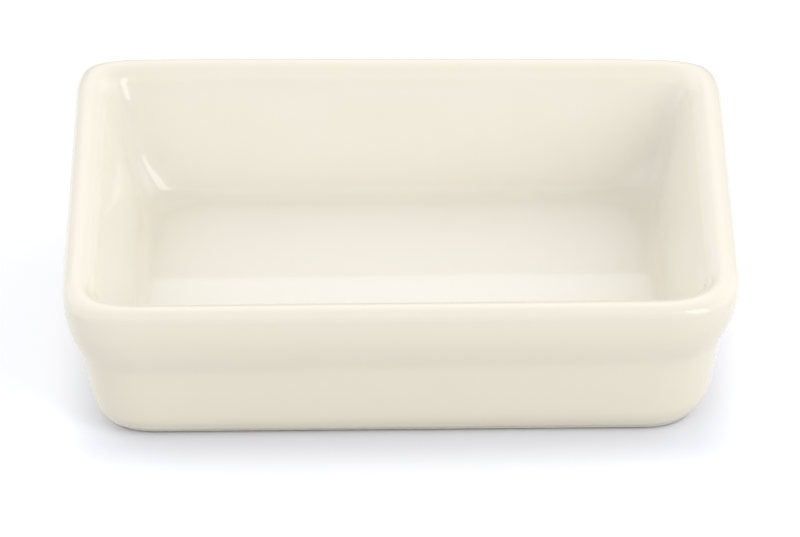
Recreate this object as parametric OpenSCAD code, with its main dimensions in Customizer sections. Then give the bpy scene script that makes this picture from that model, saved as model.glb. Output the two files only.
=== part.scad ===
// Rectangular sauce dish: a pressed stoneware body with a fired glaze coat.
// The dish stands on the XY plane with its centre over the origin and its length along X.
// Sections are drawn in x (outward, 0 at the widest line of the rim) and y (height above the table).

/* [Dish] */
// Length over the rim
dish_l = 102; // [80:1:160]
// Width over the rim
dish_w = 76; // [64:1:120]
// Height from the table to the top of the rim
dish_h = 25.5; // [23:0.5:36]

/* [Rim] */
// Rounding on the outer side of the rim
rim_outer_r = 1.7; // [1:0.1:3]
// Rounding on the inner side of the rim
rim_inner_r = 3.2; // [1.5:0.1:5]
// Flat left on top between the two roundings
rim_land = 0.3; // [0.2:0.1:1]

/* [Outside] */
// Height of the shoulder crease above the table
shoulder_z = 15; // [10:0.5:16]
// How far the wall has drawn in at the shoulder
shoulder_in = 1.9; // [1.7:0.1:4]
// Radius in the hollow of the crease
crease_r = 5; // [1:0.5:6]
// Slope of the wall below the shoulder, in degrees from upright
lower_draft = 9; // [2:1:12]
// Radius of the rounded lower edge
base_r = 6; // [3:0.5:7]
// Plan radius of the foot's corners
foot_corner_r = 0.5; // [0.5:0.5:5]

/* [Inside] */
// Height of the inside floor above the table
floor_z = 5.5; // [5:0.5:9]
// Slope of the inside wall, in degrees from upright
wall_draft = 17; // [8:1:22]
// Radius where the inside wall runs into the floor
floor_fillet_r = 2.8; // [2:0.2:5]
// Plan radius of the floor's corners
floor_corner_r = 0.5; // [0.5:0.5:5]

/* [Foot] */
// Width of the flat ring that the dish stands on
foot_band = 5; // [3:0.5:8]
// Depth of the hollow inside the foot ring
recess_depth = 1.2; // [0.8:0.1:2]
// Plan radius of the hollow's corners
recess_corner_r = 2; // [1:0.5:6]

/* [Glaze] */
// Thickness of the fired glaze
glaze_t = 0.35; // [0.2:0.05:0.6]
// Height above the table at which the glaze was wiped off
glaze_line = 0.6; // [0.4:0.1:1.5]

/* [Hidden] */
$fn = 96;
arc_step = 9;
least_steps = 4;
overlap = 1;

// Outside: the belly is one arc from the upright rim down to the crease
rim_z = dish_h - rim_outer_r;
belly_turn = 2 * atan(shoulder_in / (rim_z - shoulder_z));
belly_r = (rim_z - shoulder_z) / sin(belly_turn);
belly_c = [-belly_r, rim_z];
crease_c = belly_c + (belly_r + crease_r) * toward(-belly_turn);
crease_end = crease_c + crease_r * toward(180 - lower_draft);
base_cz = base_r - glaze_t;
lower_run = (crease_end.y + base_r * sin(lower_draft) - base_cz) / cos(lower_draft);
base_c = crease_end + lower_run * toward(-90 - lower_draft) + base_r * toward(180 - lower_draft);
rim_outer_c = [-rim_outer_r, rim_z];
outer_axis = base_c.x - foot_corner_r;

// Inside: rim rounding, straight sloping wall, floor fillet
rim_inner_c = [-rim_outer_r - rim_land, dish_h - rim_inner_r];
wall_top = rim_inner_c + rim_inner_r * toward(180 - wall_draft);
wall_drop = wall_top.y - floor_z - floor_fillet_r * (1 - sin(wall_draft));
fillet_c = wall_top + wall_drop / cos(wall_draft) * toward(-90 - wall_draft)
    + floor_fillet_r * toward(180 - wall_draft);
cavity_axis = fillet_c.x - floor_corner_r;

// Underside: a hollow with sides at 45 degrees
recess_edge = base_c.x - foot_band;
recess_axis = recess_edge - recess_depth - recess_corner_r;

function toward(a) = [cos(a), sin(a)];
function arc(c, r, from, to) =
    let (n = max(least_steps, ceil(abs(to - from) / arc_step)))
    [for (i = [0:n]) c + r * toward(from + (to - from) * i / n)];

// Outline from the table to the top of the rim, lying g inside the glazed face, from height cut up
function outer_outline(g, cut) =
    let (low = -asin(min(1, (base_cz - cut) / (base_r - g))))
    concat(
        arc(base_c, base_r - g, low, -lower_draft),
        arc(crease_c, crease_r + g, 180 - lower_draft, 180 - belly_turn),
        arc(belly_c, belly_r - g, -belly_turn, 0),
        arc(rim_outer_c, rim_outer_r - g, 0, 90));

// Outline from the floor to the top of the rim, lying g under the glazed face
function cavity_outline(g) =
    concat(
        arc(fillet_c, floor_fillet_r + g, -90, -wall_draft),
        arc(rim_inner_c, rim_inner_r - g, 180 - wall_draft, 90));

// Outline of the hollow under the dish, g inside the clay face
function recess_outline(g) =
    let (side = g * sqrt(2))
    [
        [recess_edge + overlap - side, -overlap],
        [recess_edge - recess_depth + g - side, recess_depth - g],
    ];

// A section closed back to the axis that it is swept about
function closed(outline, axis) =
    let (last = len(outline) - 1)
    concat(
        [[0, outline[0].y]],
        [for (p = outline) [p.x - axis, p.y]],
        [[0, outline[last].y]]);

// A closed section carried round the dish on a rectangle with rounded corners
module swept(section, axis) {
    l = dish_l + 2 * axis;
    w = dish_w + 2 * axis;
    bottom = section[0].y;
    top = section[len(section) - 1].y;
    translate([-l / 2, -w / 2, bottom])
        cube([l, w, top - bottom]);
    for (side = [0:3]) {
        reach = (side % 2 == 0 ? l : w) / 2;
        run = side % 2 == 0 ? w : l;
        rotate(90 * side)
            translate([reach, 0, 0]) {
                rotate([90, 0, 0])
                    linear_extrude(run, center = true)
                        polygon(section);
                translate([0, run / 2, 0])
                    rotate_extrude(angle = 90)
                        polygon(section);
            }
    }
}

// The block of the dish with no hollow in it
module outside(g, cut) {
    swept(closed(outer_outline(g, cut), outer_axis), outer_axis);
}

// The space that the sauce fills, carried on above the rim
module inside(g) {
    outline = cavity_outline(g);
    mouth = [outline[len(outline) - 1].x, dish_h + overlap];
    swept(closed(concat(outline, [mouth]), cavity_axis), cavity_axis);
}

module recess(g) {
    swept(closed(recess_outline(g), recess_axis), recess_axis);
}

// The dish before its foot is hollowed, g under the glazed face, from height cut up
module dish(g, cut) {
    difference() {
        outside(g, cut);
        inside(g);
    }
}

// Pressed and fired stoneware, bare only on the foot
module clay_body() {
    color("#cdb994")
        difference() {
            dish(glaze_t, 0);
            recess(0);
        }
}

// Glassy coat over the inside, the rim and the outer wall
module glaze_coat() {
    color("#ece5d3")
        difference() {
            dish(0, glaze_line);
            dish(glaze_t, 0);
        }
}

// The separate patch of glaze in the hollow of the foot
module base_glaze() {
    color("#e4dcc8")
        difference() {
            recess(0);
            recess(glaze_t);
            translate([0, 0, glaze_line - dish_h])
                cube([dish_l, dish_w, 2 * dish_h], center = true);
        }
}

clay_body();
glaze_coat();
base_glaze();
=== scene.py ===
import math
import bpy
import numpy as np
from mathutils import Matrix, Vector


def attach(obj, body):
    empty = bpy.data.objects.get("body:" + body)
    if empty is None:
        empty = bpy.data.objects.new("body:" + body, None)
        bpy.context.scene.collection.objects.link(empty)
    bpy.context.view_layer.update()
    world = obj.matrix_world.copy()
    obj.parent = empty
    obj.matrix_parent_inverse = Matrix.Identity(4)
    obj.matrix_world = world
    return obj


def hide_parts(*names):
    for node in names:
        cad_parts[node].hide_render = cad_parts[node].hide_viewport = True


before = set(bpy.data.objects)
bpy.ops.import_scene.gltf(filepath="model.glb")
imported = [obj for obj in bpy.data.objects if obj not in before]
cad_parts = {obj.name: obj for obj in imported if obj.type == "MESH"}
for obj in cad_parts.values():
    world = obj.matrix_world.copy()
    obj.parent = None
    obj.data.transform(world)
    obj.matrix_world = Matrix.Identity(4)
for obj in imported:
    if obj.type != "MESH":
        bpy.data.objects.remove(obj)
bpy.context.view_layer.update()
bpy.context.scene.view_settings.view_transform = "Standard"
mm = 0.001
print("frame loaded:", ", ".join(sorted(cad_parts)))


def linearColour(hexCode):
    levels = [int(hexCode[i:i + 2], 16) / 255 for i in (1, 3, 5)]
    return [c / 12.92 if c <= 0.04045 else ((c + 0.055) / 1.055) ** 2.4 for c in levels] + [1.0]


# adds one node, sets its options, and fills its inputs with values or links
def addNode(tree, kind, inputs=None, **options):
    node = tree.nodes.new(kind)
    for name, value in options.items():
        setattr(node, name, value)
    for name, value in (inputs or {}).items():
        if isinstance(value, bpy.types.NodeSocket):
            tree.links.new(value, node.inputs[name])
        else:
            node.inputs[name].default_value = value
    return node


def newMaterial(name):
    material = bpy.data.materials.new(name)
    material.use_nodes = True
    material.node_tree.nodes.clear()
    return material, material.node_tree


def addObject(name, data):
    obj = bpy.data.objects.new(name, data)
    bpy.context.scene.collection.objects.link(obj)
    return obj


# one section is carried round a rounded rectangle; sizes in mm, slopes in degrees from upright
dish = {
    "length": 102.0, "width": 76.0, "height": 25.5,
    "rimOuterR": 1.7, "rimInnerR": 3.2, "rimLand": 0.3,
    "shoulderZ": 15.0, "shoulderIn": 1.9, "creaseR": 5.0, "lowerDraft": 9.0, "baseR": 6.0,
    "floorZ": 5.5, "wallDraft": 17.0, "filletR": 2.8,
    "rimLean": 5.0, "leanShare": 0.25,      # the top quarter of the inside wall leans further out
    "footBand": 5.0, "recessDepth": 1.2,
    "glazeT": 0.35, "glazeLine": 0.6,
}

# reach of the corners in plan, by inset from the rim's widest line; the last point lies past the middle
cornerReach = {
    "outside": [(0.0, 10.0), (4.0, 9.8), (10.0, 3.4), (40.0, 3.4)],
    "inside": [(0.0, 10.0), (2.0, 9.6), (4.6, 5.8), (6.4, 5.0), (9.2, 3.8), (10.2, 10.0), (12.6, 9.6),
               (38.0, 0.0), (39.0, -0.378)],
    "under": [(9.6, 3.5), (14.6, 4.0), (15.8, 2.6), (38.0, 0.0), (39.0, -0.117)],
}

# the corners differ a little, as pressed ones do: back right, back left, front left, front right
cornerScale = {"outside": [1.0, 0.86, 1.04, 1.09], "inside": [1.0, 1.0, 1.0, 1.25]}
cornerSlack = {"outside": [7.4, 6.4, 2.5, 0.8], "inside": [1.5, 1.5, 1.5, 0.5]}     # 0 is a true arc
cornerBlend = {"from": 2.0, "over": 3.4, "blur": 0.8}       # insets where the inside shape takes over

# small bends from drying and firing: shares of the distances along the dish, and a sag in mm
kilnWarp = {"taper": 0.0035, "flare": 0.0025, "backRimTilt": -0.0069, "frontRimTilt": 0.0013,
            "creaseTilt": 0.015, "cornerSag": 0.55, "sagPower": 6}

# steps along each stretch of the section
steps = {"base": 24, "lowerWall": 6, "crease": 6, "belly": 16, "outerRim": 20,
         "innerRim": 28, "wall": 28, "fillet": 16, "floor": 14}
fineStep = 0.05     # mm, where a face is walked along evenly


def toward(angle):
    return np.array([math.cos(math.radians(angle)), math.sin(math.radians(angle))])


def arc(centre, radius, start, end, count):
    return [centre + radius * toward(start + (end - start) * i / count) for i in range(count + 1)]


def run(start, end, count):
    return [start + (end - start) * i / count for i in range(count + 1)]


def eased(share):
    return share * share * (3 - 2 * share)


# the section's arcs lie g under the glazed face, from a lowest height up; x is 0 at the rim and falls inwards
def outsideFace(g, lowest):
    d = dish
    rimZ = d["height"] - d["rimOuterR"]
    turn = math.degrees(2 * math.atan(d["shoulderIn"] / (rimZ - d["shoulderZ"])))
    bellyR = (rimZ - d["shoulderZ"]) / math.sin(math.radians(turn))
    bellyAt = np.array([-bellyR, rimZ])
    creaseAt = bellyAt + (bellyR + d["creaseR"]) * toward(-turn)
    creaseEnd = creaseAt + d["creaseR"] * toward(180 - d["lowerDraft"])
    baseZ = d["baseR"] - d["glazeT"]
    draft = math.radians(d["lowerDraft"])
    wallRun = (creaseEnd[1] + d["baseR"] * math.sin(draft) - baseZ) / math.cos(draft)
    baseAt = creaseEnd + wallRun * toward(-90 - d["lowerDraft"]) + d["baseR"] * toward(180 - d["lowerDraft"])
    low = -math.degrees(math.asin(min(1.0, (baseZ - lowest) / (d["baseR"] - g))))
    base = arc(baseAt, d["baseR"] - g, low, -d["lowerDraft"], steps["base"])
    crease = arc(creaseAt, d["creaseR"] + g, 180 - d["lowerDraft"], 180 - turn, steps["crease"])
    belly = arc(bellyAt, bellyR - g, -turn, 0, steps["belly"])
    rim = arc(np.array([-d["rimOuterR"], rimZ]), d["rimOuterR"] - g, 0, 90, steps["outerRim"])
    return base + run(base[-1], crease[0], steps["lowerWall"])[1:-1] + crease + belly[1:] + rim[1:]


def insideFace(g):
    d = dish
    draft = math.radians(d["wallDraft"])
    rimAt = np.array([-d["rimOuterR"] - d["rimLand"], d["height"] - d["rimInnerR"]])
    wallTop = rimAt + d["rimInnerR"] * toward(180 - d["wallDraft"])
    drop = wallTop[1] - d["floorZ"] - d["filletR"] * (1 - math.sin(draft))
    filletAt = wallTop + drop / math.cos(draft) * toward(-90 - d["wallDraft"])
    filletAt = filletAt + d["filletR"] * toward(180 - d["wallDraft"])
    rimEnd = 180 - d["wallDraft"] - d["rimLean"] * (1 - d["leanShare"] / 3)
    rim = arc(rimAt, d["rimInnerR"] - g, 90, rimEnd, steps["innerRim"])
    fillet = arc(filletAt, d["filletR"] + g, -d["wallDraft"], -90, steps["fillet"])
    lean = math.radians(d["rimLean"]) * drop * d["leanShare"] / 3
    wall = []
    for i, p in enumerate(run(rim[-1], fillet[0], steps["wall"])):
        share = i / steps["wall"]
        wall.append(p - (lean * (1 - max(0, 1 - share / d["leanShare"]) ** 3 - share), 0))
    middle = np.array([-d["width"] / 2, d["floorZ"] - g])
    return rim + wall[1:-1] + fillet + run(fillet[-1], middle, steps["floor"])[1:]


# a face's points, their distances along it, and the same face in even steps
def evenSteps(face):
    p = np.array(face)
    along = np.concatenate([[0.0], np.cumsum(np.hypot(*np.diff(p, axis=0).T))])
    even = np.linspace(0.0, along[-1], int(along[-1] / fineStep) + 1)
    return p, along, even, np.interp(even, along, p[:, 0]), np.interp(even, along, p[:, 1])


def blurred(values, blur):
    half = int(3 * blur / fineStep)
    reach = np.exp(-0.5 * (np.arange(-half, half + 1) * fineStep / blur) ** 2)
    padded = np.pad(values, half, mode="reflect", reflect_type="odd")
    return np.convolve(padded, reach / reach.sum(), mode="valid")


# melts the edges and hollows of a face, all over or between two heights
def soften(face, blur, low=-math.inf, high=math.inf, fade=1.0):
    p, along, even, x, z = evenSteps(face)
    share = np.clip(np.minimum(p[:, 1] - low, high - p[:, 1]) / fade, 0, 1)
    melted = np.column_stack([np.interp(along, even, blurred(v, blur)) for v in (x, z)])
    return list(p + (melted - p) * eased(share)[:, None])


# how far the glaze pools (+) or thins (-): it leaves the edges and fills the hollows of the section; the
# darker, warmer tone this gives the hollows is partly painted shade
glazeFlowAndShade = {"blur": 1.3, "gain": 2.4}


def glazePoolAndShade(face):
    _, along, even, x, z = evenSteps(face)
    heading = np.unwrap(np.arctan2(np.gradient(z), np.gradient(x)))
    bend = blurred(np.gradient(heading, fineStep), glazeFlowAndShade["blur"])
    return np.clip(-glazeFlowAndShade["gain"] * np.interp(along, even, bend), -1, 1)


# rows of section points: inset, corner reach and height, then glaze depth (thick and partly painted shade in
# hollows, thin on edges), ripple and share of the inside corner
def sectionRows(face, law, poolAndShade=None, ripple=0.0):
    insets, reaches = zip(*cornerReach[law])
    around = np.linspace(-cornerBlend["blur"], cornerBlend["blur"], 9)
    rows = []
    for i, (x, z) in enumerate(face):
        reach = float(np.mean(np.interp(-x + around, insets, reaches)))
        share = (-x - cornerBlend["from"]) / cornerBlend["over"] if law == "inside" else 0.0
        share = eased(min(max(share, 0.0), 1.0))
        rows.append((-x, reach, z, 0.0 if poolAndShade is None else float(poolAndShade[i]), ripple, share))
    return rows


creaseMelt = {"blur": 1.1, "low": 7.0, "high": 21.0, "fade": 3.0}       # the crease is a soft S
outerGlazed = soften(outsideFace(0.0, dish["glazeLine"]), **creaseMelt)
innerGlazed = insideFace(0.0)
print("section drawn:", len(outerGlazed) + len(innerGlazed), "points on the glazed face")


# a quarter turn from (1, 0) to (0, 1); slack makes it straighter at its ends and tighter in the middle
def quarterTurn(slack, count, power=6, fine=40):
    angle = np.linspace(0, math.pi / 2, fine * count + 1)
    radius = 1 + slack * np.abs(np.cos(2 * angle)) ** power
    across = np.concatenate([[0.0], np.cumsum((radius * np.sin(angle))[1:])])
    along = np.concatenate([[0.0], np.cumsum((radius * np.cos(angle))[:-1])])
    return list(zip(1 - across[::fine] / across[-1], along[::fine] / along[-1]))


# round the dish once: the corner that each point hangs on, and how it swings there, outside and inside
# a swing's third number is the corner's scale
def dishLoop(perCorner=52, perLong=40, perShort=28):
    corners = [(1, 1), (-1, 1), (-1, -1), (1, -1)]
    anchors, swings = [], {"outside": [], "inside": []}
    for k, (cornerX, cornerY) in enumerate(corners):
        after = (k + 1) % 4
        stepX, stepY = corners[after][0] - cornerX, corners[after][1] - cornerY
        count = perLong if k % 2 == 0 else perShort
        anchors += [(cornerX, cornerY, 0.0)] * (perCorner + 1)
        anchors += [(cornerX + stepX * i / count, cornerY + stepY * i / count, 0.0) for i in range(1, count)]
        c, s = [(1, 0), (0, 1), (-1, 0), (0, -1)][k]
        for face in swings:
            first, last = cornerScale[face][k], cornerScale[face][after]
            for u, v in quarterTurn(cornerSlack[face][k], perCorner):
                swings[face].append((u * c - v * s, u * s + v * c, first))
            swings[face] += [(-s, c, first + (last - first) * i / count) for i in range(1, count)]
    return anchors + anchors[:1], {face: rows + rows[:1] for face, rows in swings.items()}


def pointsObject(name, points, **vectors):
    mesh = bpy.data.meshes.new(name)
    mesh.from_pydata(points, [], [])
    for key, values in vectors.items():
        layer = mesh.attributes.new(key, "FLOAT_VECTOR", "POINT")
        layer.data.foreach_set("vector", np.array(values, np.float32).ravel())
    return addObject(name, mesh)


# Geometry Nodes: lays a grid of section points by loop points and sends each one to its place on the dish
def sweepTree():
    tree = bpy.data.node_groups.new("carrySectionRoundDish", "GeometryNodeTree")
    for name, kind in (("Section", "Geometry"), ("Loop", "Object"), ("Half Size", "Vector"),
                       ("Section Points", "Int"), ("Loop Points", "Int"), ("Ripple Height", "Float"),
                       ("Ripple Length", "Float"), ("Seed", "Float"), ("Finish", "Material")):
        tree.interface.new_socket(name, in_out="INPUT", socket_type="NodeSocket" + kind)
    tree.interface.new_socket("Dish", in_out="OUTPUT", socket_type="NodeSocketGeometry")
    given = addNode(tree, "NodeGroupInput").outputs
    rowCount, columnCount = given["Section Points"], given["Loop Points"]
    place = addNode(tree, "GeometryNodeInputPosition").outputs[0]
    index = addNode(tree, "GeometryNodeInputIndex").outputs[0]
    loop = addNode(tree, "GeometryNodeObjectInfo", {"Object": given["Loop"]}).outputs["Geometry"]
    sheet = addNode(tree, "GeometryNodeMeshGrid",
                    {"Vertices X": columnCount, "Vertices Y": rowCount}).outputs["Mesh"]
    turns = addNode(tree, "ShaderNodeMath", {0: index, 1: rowCount}, operation="DIVIDE").outputs[0]
    column = addNode(tree, "ShaderNodeMath", {0: turns}, operation="FLOOR").outputs[0]
    row = addNode(tree, "ShaderNodeMath", {0: index, 1: rowCount}, operation="MODULO").outputs[0]

    # what the section's row and the loop's column say at each point of the grid
    kept = {"place": place}
    for name in ("outside", "inside", "coat"):
        kept[name] = addNode(tree, "GeometryNodeInputNamedAttribute", {"Name": name},
                             data_type="FLOAT_VECTOR").outputs[0]
    read = []
    for source, name, spot in ((given["Section"], "place", row), (given["Section"], "coat", row),
                               (loop, "place", column), (loop, "outside", column), (loop, "inside", column)):
        read.append(addNode(tree, "GeometryNodeSampleIndex",
                            {"Geometry": source, "Value": kept[name], "Index": spot},
                            data_type="FLOAT_VECTOR").outputs[0])
    section, coat, anchor, swingOut, swingIn = read
    share = addNode(tree, "ShaderNodeSeparateXYZ", {0: coat}).outputs[2]
    swing = addNode(tree, "ShaderNodeMix", {"Factor": share, 4: swingOut, 5: swingIn},
                    data_type="VECTOR").outputs[1]
    inset, cornerR, height = addNode(tree, "ShaderNodeSeparateXYZ", {0: section}).outputs
    scale = addNode(tree, "ShaderNodeSeparateXYZ", {0: swing}).outputs[2]
    radius = addNode(tree, "ShaderNodeMath", {0: cornerR, 1: scale}, operation="MULTIPLY").outputs[0]
    drawIn = addNode(tree, "ShaderNodeMath", {0: inset, 1: radius}).outputs[0]
    reach = addNode(tree, "ShaderNodeVectorMath", {0: given["Half Size"], 1: drawIn},
                    operation="SUBTRACT").outputs[0]
    straight = addNode(tree, "ShaderNodeVectorMath", {0: anchor, 1: reach}, operation="MULTIPLY").outputs[0]
    around = addNode(tree, "ShaderNodeVectorMath", {0: swing, "Scale": radius}, operation="SCALE").outputs[0]
    plan = addNode(tree, "ShaderNodeVectorMath", {0: straight, 1: around}).outputs[0]
    flat = addNode(tree, "ShaderNodeSeparateXYZ", {0: plan}).outputs
    target = addNode(tree, "ShaderNodeCombineXYZ", {0: flat[0], 1: flat[1], 2: height}).outputs[0]
    laid = addNode(tree, "GeometryNodeSetPosition", {"Geometry": sheet, "Position": target}).outputs[0]
    marked = addNode(tree, "GeometryNodeStoreNamedAttribute",
                     {"Geometry": laid, "Name": "coat", "Value": coat},
                     data_type="FLOAT_VECTOR", domain="POINT").outputs[0]
    welded = addNode(tree, "GeometryNodeMergeByDistance", {"Geometry": marked, "Distance": 2e-6}).outputs[0]

    # slow ripples where the coat is free
    waves = addNode(tree, "ShaderNodeMath", {0: 1.0, 1: given["Ripple Length"]},
                    operation="DIVIDE").outputs[0]
    noise = addNode(tree, "ShaderNodeTexNoise",
                    {"Vector": place, "W": given["Seed"], "Scale": waves, "Detail": 1.0},
                    noise_dimensions="4D").outputs[0]
    swell = addNode(tree, "ShaderNodeMath", {0: noise, 1: 0.5}, operation="SUBTRACT").outputs[0]
    swell = addNode(tree, "ShaderNodeMath", {0: swell, 1: given["Ripple Height"]},
                    operation="MULTIPLY").outputs[0]
    free = addNode(tree, "ShaderNodeSeparateXYZ", {0: kept["coat"]}).outputs[1]
    lift = addNode(tree, "ShaderNodeMath", {0: swell, 1: free}, operation="MULTIPLY").outputs[0]
    normal = addNode(tree, "GeometryNodeInputNormal").outputs[0]
    offset = addNode(tree, "ShaderNodeVectorMath", {0: normal, "Scale": lift}, operation="SCALE").outputs[0]
    rippled = addNode(tree, "GeometryNodeSetPosition", {"Geometry": welded, "Offset": offset}).outputs[0]
    smooth = addNode(tree, "GeometryNodeSetShadeSmooth",
                     {"Geometry": rippled, "Shade Smooth": True}).outputs[0]
    real = addNode(tree, "GeometryNodeRealizeInstances", {"Geometry": smooth}).outputs[0]
    painted = addNode(tree, "GeometryNodeSetMaterial",
                      {"Geometry": real, "Material": given["Finish"]}).outputs[0]
    addNode(tree, "NodeGroupOutput", {"Dish": painted})
    return tree


sweep = sweepTree()
anchors, swings = dishLoop()
loopObject = pointsObject("dishLoop", anchors, **swings)
print("sweep tree built:", len(sweep.nodes), "nodes,", len(anchors), "points round the dish")


def bendInKiln(co):
    x, y, z = co[:, 0], co[:, 1], co[:, 2]
    high, halfLong, halfWide = dish["height"] * mm, dish["length"] * mm / 2, dish["width"] * mm / 2
    back, front = (halfWide + y) / (2 * halfWide), (halfWide - y) / (2 * halfWide)
    waist = 4 * np.clip(z / high, 0, 1) * (1 - np.clip(z / high, 0, 1))
    tilt = z / high * (kilnWarp["backRimTilt"] * back + kilnWarp["frontRimTilt"] * front)
    sag = kilnWarp["cornerSag"] * mm * (np.abs(x) / halfLong) ** kilnWarp["sagPower"]
    sag = sag * np.clip(back, 0, 1) * z / high
    bent = co.copy()
    bent[:, 0] = x * (1 + kilnWarp["flare"] * y / halfWide)
    bent[:, 1] = y * (1 - kilnWarp["taper"] * x / halfLong)
    bent[:, 2] = z + x * (tilt + kilnWarp["creaseTilt"] * waist * front) - sag
    return bent


def makePiece(name, rows, material, rippleHeight=0.0, rippleLength=30.0, seed=1.0):
    points = [(r[0] * mm, r[1] * mm, r[2] * mm) for r in rows]
    source = pointsObject(name + "Section", points, coat=[r[3:6] for r in rows])
    carry = source.modifiers.new("carry", "NODES")
    carry.node_group = sweep
    values = {"Loop": loopObject, "Half Size": (dish["length"] * mm / 2, dish["width"] * mm / 2, 0.0),
              "Section Points": len(rows), "Loop Points": len(anchors), "Ripple Height": rippleHeight * mm,
              "Ripple Length": rippleLength * mm, "Seed": seed, "Finish": material}
    for item in sweep.interface.items_tree:
        if item.name in values:
            carry[item.identifier] = values[item.name]
    graph = bpy.context.evaluated_depsgraph_get()
    made = source.evaluated_get(graph)
    mesh = bpy.data.meshes.new_from_object(made, preserve_all_data_layers=True, depsgraph=graph)
    mesh.name = name
    bpy.data.objects.remove(source)
    co = np.empty(len(mesh.vertices) * 3, np.float32)
    mesh.vertices.foreach_get("co", co)
    mesh.vertices.foreach_set("co", bendInKiln(co.reshape(-1, 3)).astype(np.float32).ravel())
    mesh.update()
    print(name, "made:", len(mesh.polygons), "faces")
    return addObject(name, mesh)


# ivory gloss glaze, dipped and fired: warm off-white and glassy, warmer and a little darker where it pools,
# which also stands as painted shade in the hollows; a breath of clay where it thins; clouds and peel in mm
ivory = {"outside": "#ede7d6", "inside": "#ede9df", "thin": "#ebe5d7", "pooledAndShade": "#eae4d5",
         "cloud": 24.0, "cloudDepth": 0.22, "peel": 2.4, "peelHeight": 0.02, "peelStrength": 0.05,
         "roughness": 0.05, "ior": 1.5, "gloss": 0.5}


def ivoryGlaze():
    material, tree = newMaterial("ivoryGlossGlaze")
    spot = addNode(tree, "ShaderNodeTexCoord").outputs["Object"]
    coat = addNode(tree, "ShaderNodeAttribute", attribute_name="coat").outputs["Vector"]
    poolAndShade, _, inner = addNode(tree, "ShaderNodeSeparateXYZ", {0: coat}).outputs
    cloud = addNode(tree, "ShaderNodeTexNoise",
                    {"Vector": spot, "Scale": 1 / (ivory["cloud"] * mm), "Detail": 3.0}).outputs[0]
    drift = addNode(tree, "ShaderNodeMapRange", {0: cloud, 1: 0.3, 2: 0.7, 3: -ivory["cloudDepth"],
                    4: ivory["cloudDepth"]}).outputs[0]
    depth = addNode(tree, "ShaderNodeMath", {0: poolAndShade, 1: drift}).outputs[0]
    thinning = addNode(tree, "ShaderNodeMapRange", {0: depth, 1: 0.0, 2: -1.0}).outputs[0]
    # the tone for thick glaze in the hollows is darker and warmer: partly real pooling, partly painted shade
    poolingAndShade = addNode(tree, "ShaderNodeMapRange", {0: depth, 1: 0.0, 2: 1.0}).outputs[0]
    tone = linearColour(ivory["outside"])
    for share, name in ((inner, "inside"), (thinning, "thin"), (poolingAndShade, "pooledAndShade")):
        tone = addNode(tree, "ShaderNodeMix", {"Factor": share, 6: tone, 7: linearColour(ivory[name])},
                       data_type="RGBA").outputs[2]
    peel = addNode(tree, "ShaderNodeTexNoise",
                   {"Vector": spot, "Scale": 1 / (ivory["peel"] * mm), "Detail": 2.0}).outputs[0]
    bump = addNode(tree, "ShaderNodeBump", {"Height": peel, "Strength": ivory["peelStrength"],
                   "Distance": ivory["peelHeight"] * mm}).outputs[0]
    # light that creeps round the inner corners from gloss to gloss ends matt, and not black
    bounces = addNode(tree, "ShaderNodeLightPath").outputs["Glossy Depth"]
    gloss = addNode(tree, "ShaderNodeMapRange",
                    {0: bounces, 1: 1.0, 2: 2.0, 3: ivory["gloss"], 4: 0.0}).outputs[0]
    shader = addNode(tree, "ShaderNodeBsdfPrincipled", {"Base Color": tone, "Normal": bump,
                     "Specular IOR Level": gloss, "Roughness": ivory["roughness"], "IOR": ivory["ior"]})
    addNode(tree, "ShaderNodeOutputMaterial", {"Surface": shader.outputs[0]})
    return material


# bare fired stoneware, wiped before firing: matt buff with a fine sandy grain,
# toasted where the glaze stops; heights and grain in mm
buff = {"clay": "#cdb994", "light": "#dccbaa", "toast": "#b08a5c", "toastFrom": 0.1, "toastTo": 0.6,
        "grain": 0.5, "grainHeight": 0.05, "grainStrength": 0.5, "roughness": 0.8, "ior": 1.5}


def bareStoneware():
    material, tree = newMaterial("wipedBareStoneware")
    spot = addNode(tree, "ShaderNodeTexCoord").outputs["Object"]
    grain = addNode(tree, "ShaderNodeTexNoise",
                    {"Vector": spot, "Scale": 1 / (buff["grain"] * mm), "Detail": 4.0}).outputs[0]
    tone = addNode(tree, "ShaderNodeValToRGB", {0: grain})
    for stop, position, name in zip(tone.color_ramp.elements, (0.3, 0.7), ("clay", "light")):
        stop.position = position
        stop.color = linearColour(buff[name])
    up = addNode(tree, "ShaderNodeSeparateXYZ", {0: spot}).outputs[2]
    nearGlaze = addNode(tree, "ShaderNodeMapRange",
                        {0: up, 1: buff["toastFrom"] * mm, 2: buff["toastTo"] * mm}).outputs[0]
    toasted = addNode(tree, "ShaderNodeMix",
                      {"Factor": nearGlaze, 6: tone.outputs[0], 7: linearColour(buff["toast"])},
                      data_type="RGBA").outputs[2]
    bump = addNode(tree, "ShaderNodeBump", {"Height": grain, "Strength": buff["grainStrength"],
                   "Distance": buff["grainHeight"] * mm}).outputs[0]
    shader = addNode(tree, "ShaderNodeBsdfPrincipled", {"Base Color": toasted, "Normal": bump,
                     "Roughness": buff["roughness"], "IOR": buff["ior"]})
    addNode(tree, "ShaderNodeOutputMaterial", {"Surface": shader.outputs[0]})
    return material


glazeFinish = ivoryGlaze()
clayFinish = bareStoneware()
print("materials made:", glazeFinish.name, clayFinish.name)

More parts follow.
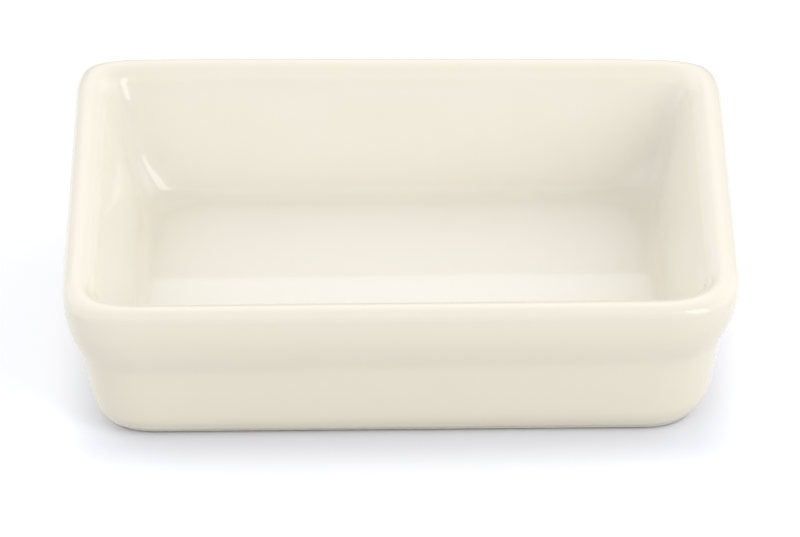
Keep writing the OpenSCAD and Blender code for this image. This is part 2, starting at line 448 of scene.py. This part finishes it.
# glaze coat: its hidden side from the middle out over the rim, a rounded lip, then the glazed face back
glazeCoat = {"hiddenEvery": 3, "lipSteps": 8, "rippleHeight": 0.18, "rippleLength": 32.0, "seed": 3.0}
clayOutside = outsideFace(dish["glazeT"], dish["glazeLine"])
hiddenIn = insideFace(dish["glazeT"])[::-glazeCoat["hiddenEvery"]]
hiddenOut = clayOutside[:0:-glazeCoat["hiddenEvery"]] + clayOutside[:1]
lipSpan = outerGlazed[0] - hiddenOut[-1]
lipDown = np.array([lipSpan[1], -lipSpan[0]])
lip = []
for angle in np.linspace(0, math.pi, glazeCoat["lipSteps"] + 1)[1:-1]:
    lip.append(hiddenOut[-1] + lipSpan * (0.5 - 0.5 * math.cos(angle)) + lipDown * 0.5 * math.sin(angle))
facePoolAndShade = glazePoolAndShade(outerGlazed + innerGlazed)
coatRows = sectionRows(hiddenIn, "inside") + sectionRows(hiddenOut, "outside")
coatRows += sectionRows(lip, "outside", facePoolAndShade[:1].repeat(len(lip)))
coatRows += sectionRows(outerGlazed, "outside", facePoolAndShade[:len(outerGlazed)], 1.0)
coatRows += sectionRows(innerGlazed, "inside", facePoolAndShade[len(outerGlazed):], 1.0)
coatPiece = makePiece("glazeCoat", coatRows, glazeFinish, rippleHeight=glazeCoat["rippleHeight"],
                      rippleLength=glazeCoat["rippleLength"], seed=glazeCoat["seed"])

# clay body: hollow of the foot, foot ring, then the face under the glaze
# points lie close together above and below the hollow's sloping side, and its edges are melted
clayBody = {"closeAbove": 2.0, "closeBelow": 1.5, "edgeBlur": 0.3}
footEdge = -outsideFace(dish["glazeT"], 0.0)[0][0]
ringEdge = footEdge + dish["footBand"]
top = np.array([-ringEdge - dish["recessDepth"], dish["recessDepth"]])
ring, foot = np.array([-ringEdge, 0.0]), np.array([-footEdge, 0.0])
hollow = [np.array([-dish["width"] / 2, dish["recessDepth"]])]
for stop, count in ((top - (clayBody["closeAbove"], 0), 8), (top, 8), (ring, 10),
                    (ring + (clayBody["closeBelow"], 0), 8), (foot, 4)):
    hollow += run(hollow[-1], stop, count)[1:]
hollow = soften(hollow, clayBody["edgeBlur"])[:-1]
clayRows = sectionRows(hollow, "under") + sectionRows(outsideFace(dish["glazeT"], 0.0), "outside")
clayRows += sectionRows(insideFace(dish["glazeT"]), "inside")
clayPiece = makePiece("clayBody", clayRows, clayFinish)

# glaze patch in the hollow of the foot, drawn up to a rounded edge
baseGlaze = {"edge": 0.6}
bed = np.array([p for p in hollow if p[1] > dish["glazeLine"]])
fromEdge = np.concatenate([np.cumsum(np.hypot(*np.diff(bed[::-1], axis=0).T))[::-1], [0.0]])
thick = dish["glazeT"] * np.sqrt(1 - (1 - np.clip(fromEdge / baseGlaze["edge"], 0, 1)) ** 2)
along = np.gradient(bed, axis=0)
away = np.column_stack([along[:, 1], -along[:, 0]]) / np.hypot(*along.T)[:, None]
patch = list(bed + away * thick[:, None]) + list(bed[-2::-1])
patchPiece = makePiece("baseGlaze", sectionRows(patch, "under"), glazeFinish)
bpy.data.objects.remove(loopObject)

for piece, node, slot in ((coatPiece, "glaze_coat", "glaze"), (clayPiece, "clay_body", "stoneware"),
                          (patchPiece, "base_glaze", "glaze")):
    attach(piece, "root")
    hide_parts(node)

# studio floor: sizes in mm from the middle of the dish, the floor's own half size in m
# the glow starts beyond a box round the dish and brings the floor up to white; inside it the seen floor stays
# greyer and bluer, a painted shadow added to the real one
studio = {"floorColour": "#d8d8d8", "floorSeenShadeTint": "#eff1f9", "halfFloor": 3.0,
          "glow": 0.19, "paintedShadowBox": (43.0, 33.0, 0.0), "glowFrom": 1.0, "glowTo": 12.0,
          "window": (36.0, 23.0, 0.0), "windowEdge": 5.2}


# how far a spot lies outside a rectangle, in m
def beyond(tree, spot, halfSize):
    away = addNode(tree, "ShaderNodeVectorMath", {0: spot}, operation="ABSOLUTE").outputs[0]
    away = addNode(tree, "ShaderNodeVectorMath", {0: away, 1: [v * mm for v in halfSize]},
                   operation="SUBTRACT").outputs[0]
    away = addNode(tree, "ShaderNodeVectorMath", {0: away, 1: (0, 0, 0)}, operation="MAXIMUM").outputs[0]
    return addNode(tree, "ShaderNodeVectorMath", {0: away}, operation="LENGTH").outputs["Value"]


# the camera and the gloss see a floor that keeps the shadow, painted greyer and bluer near the dish as
# painted shadow and white further out; what it throws back on the dish is greyer
# it is clear from below and under the foot, so that the underside can be looked at
def paleFloor():
    material, tree = newMaterial("paleStudioFloor")
    path = addNode(tree, "ShaderNodeLightPath").outputs
    seen = path["Is Camera Ray"]
    for ray in ("Is Glossy Ray", "Is Transmission Ray"):
        seen = addNode(tree, "ShaderNodeMath", {0: seen, 1: path[ray]}, operation="MAXIMUM").outputs[0]
    paint = addNode(tree, "ShaderNodeMix", {"Factor": seen, 6: linearColour(studio["floorColour"]),
                    7: linearColour(studio["floorSeenShadeTint"])}, data_type="RGBA").outputs[2]
    spot = addNode(tree, "ShaderNodeTexCoord").outputs["Object"]
    # no glow near the dish: painted shadow round its foot, on top of the shadow the light casts
    away = beyond(tree, spot, studio["paintedShadowBox"])
    glow = addNode(tree, "ShaderNodeMapRange",
                   {0: away, 1: studio["glowFrom"] * mm, 2: studio["glowTo"] * mm, 4: studio["glow"]},
                   interpolation_type="SMOOTHSTEP").outputs[0]
    glow = addNode(tree, "ShaderNodeMath", {0: seen, 1: glow}, operation="MULTIPLY").outputs[0]
    matt = addNode(tree, "ShaderNodeBsdfDiffuse", {"Color": paint}).outputs[0]
    light = addNode(tree, "ShaderNodeEmission", {"Strength": glow}).outputs[0]
    both = addNode(tree, "ShaderNodeAddShader", {0: matt, 1: light}).outputs[0]
    below = addNode(tree, "ShaderNodeNewGeometry").outputs["Backfacing"]
    window = addNode(tree, "ShaderNodeMath",
                     {0: beyond(tree, spot, studio["window"]), 1: studio["windowEdge"] * mm},
                     operation="LESS_THAN").outputs[0]
    through = addNode(tree, "ShaderNodeMath", {0: below, 1: window}, operation="MAXIMUM").outputs[0]
    clear = addNode(tree, "ShaderNodeBsdfTransparent").outputs[0]
    shown = addNode(tree, "ShaderNodeMixShader", {0: through, 1: both, 2: clear}).outputs[0]
    addNode(tree, "ShaderNodeOutputMaterial", {"Surface": shown})
    return material


reach = studio["halfFloor"]
floorCorners = [(-reach, -reach, 0), (reach, -reach, 0), (reach, reach, 0), (-reach, reach, 0)]
floorMesh = bpy.data.meshes.new("studioFloor")
floorMesh.from_pydata(floorCorners, [], [(0, 1, 2, 3)])
floorMesh.materials.append(paleFloor())
floor = addObject("studioFloor", floorMesh)

# a tent of soft glows: degrees round from the front to the right and above the horizon, tightness, level
# the last one comes from below, through the window under the foot
tent = [
    (0, 55, 8, 0.26), (180, 55, 8, 0.78), (240, 55, 8, 0.52),
    (0, 12, 4, 0.34), (0, 34, 3, 0.70), (45, 30, 10, 0.30), (90, 30, 10, 1.33), (135, 30, 10, 1.38),
    (180, 30, 10, 0.10), (225, 30, 10, 0.90), (270, 35, 3, 0.75), (315, 30, 10, 0.80),
    (90, 8, 14, 0.93), (135, 8, 14, 0.94), (180, 8, 14, 0.15), (225, 8, 14, 1.09), (270, 3, 16, 2.00),
    (180, 32, 30, 1.11), (180, 68, 30, 0.09), (150, 40, 30, 0.36), (210, 40, 30, 0.29),
    (0, -90, 2, 1.40),
]


def headingOf(azimuth, elevation):
    a, e = math.radians(azimuth), math.radians(elevation)
    return Vector((math.sin(a) * math.cos(e), -math.cos(a) * math.cos(e), math.sin(e)))


world = bpy.data.worlds.new("softTent")
bpy.context.scene.world = world
world.use_nodes = True
sky = world.node_tree
sky.nodes.clear()
heading = addNode(sky, "ShaderNodeTexCoord").outputs["Generated"]
level = 0.0
for azimuth, elevation, tightness, strength in tent:
    facing = addNode(sky, "ShaderNodeVectorMath", {0: heading, 1: headingOf(azimuth, elevation)},
                     operation="DOT_PRODUCT").outputs["Value"]
    facing = addNode(sky, "ShaderNodeMath", {0: facing, 1: 0.0}, operation="MAXIMUM").outputs[0]
    spread = addNode(sky, "ShaderNodeMath", {0: facing, 1: float(tightness)}, operation="POWER").outputs[0]
    level = addNode(sky, "ShaderNodeMath", {0: spread, 1: strength, 2: level},
                    operation="MULTIPLY_ADD").outputs[0]
tentLight = addNode(sky, "ShaderNodeBackground", {"Strength": level}).outputs[0]
addNode(sky, "ShaderNodeOutputWorld", {"Surface": tentLight})

# one softbox at the front right gives the sharp highlights; its level is the brightness of its face
softbox = {"azimuth": 45, "elevation": 33, "away": 1.2, "size": (0.5, 1.06), "level": 2.9}
lampData = bpy.data.lights.new("frontRightSoftbox", "AREA")
lampData.shape = "RECTANGLE"
lampData.size, lampData.size_y = softbox["size"]
lampData.energy = softbox["level"] * math.pi * lampData.size * lampData.size_y
lamp = addObject("frontRightSoftbox", lampData)
lamp.location = headingOf(softbox["azimuth"], softbox["elevation"]) * softbox["away"]
lamp.rotation_euler = (-lamp.location).to_track_quat("-Z", "Y").to_euler()

# camera: angles in degrees, focal length in pixels of an image 800 wide, distances in mm
view = {"elevation": 32.375, "yaw": 0.187, "roll": -0.315, "focalPx": 5973.6, "imageWidth": 800,
        "distance": 928.97, "target": (-0.087, 0.0, 9.25)}
el, yaw, roll = (math.radians(view[k]) for k in ("elevation", "yaw", "roll"))
ahead = Vector((math.sin(yaw) * math.cos(el), math.cos(yaw) * math.cos(el), -math.sin(el)))
across = Vector((math.cos(yaw), -math.sin(yaw), 0.0))
upright = across.cross(ahead)
right = math.cos(roll) * across + math.sin(roll) * upright
above = math.cos(roll) * upright - math.sin(roll) * across
cameraData = bpy.data.cameras.new("photoCamera")
cameraData.sensor_width = 36.0
cameraData.lens = view["focalPx"] * cameraData.sensor_width / view["imageWidth"]
cameraData.clip_start, cameraData.clip_end = 0.01, 20.0
camera = addObject("photoCamera", cameraData)
cameraAt = (Vector(view["target"]) - ahead * view["distance"]) * mm
camera.matrix_world = Matrix.Translation(cameraAt) @ Matrix((right, above, -ahead)).transposed().to_4x4()
bpy.context.scene.camera = camera
print("studio set")
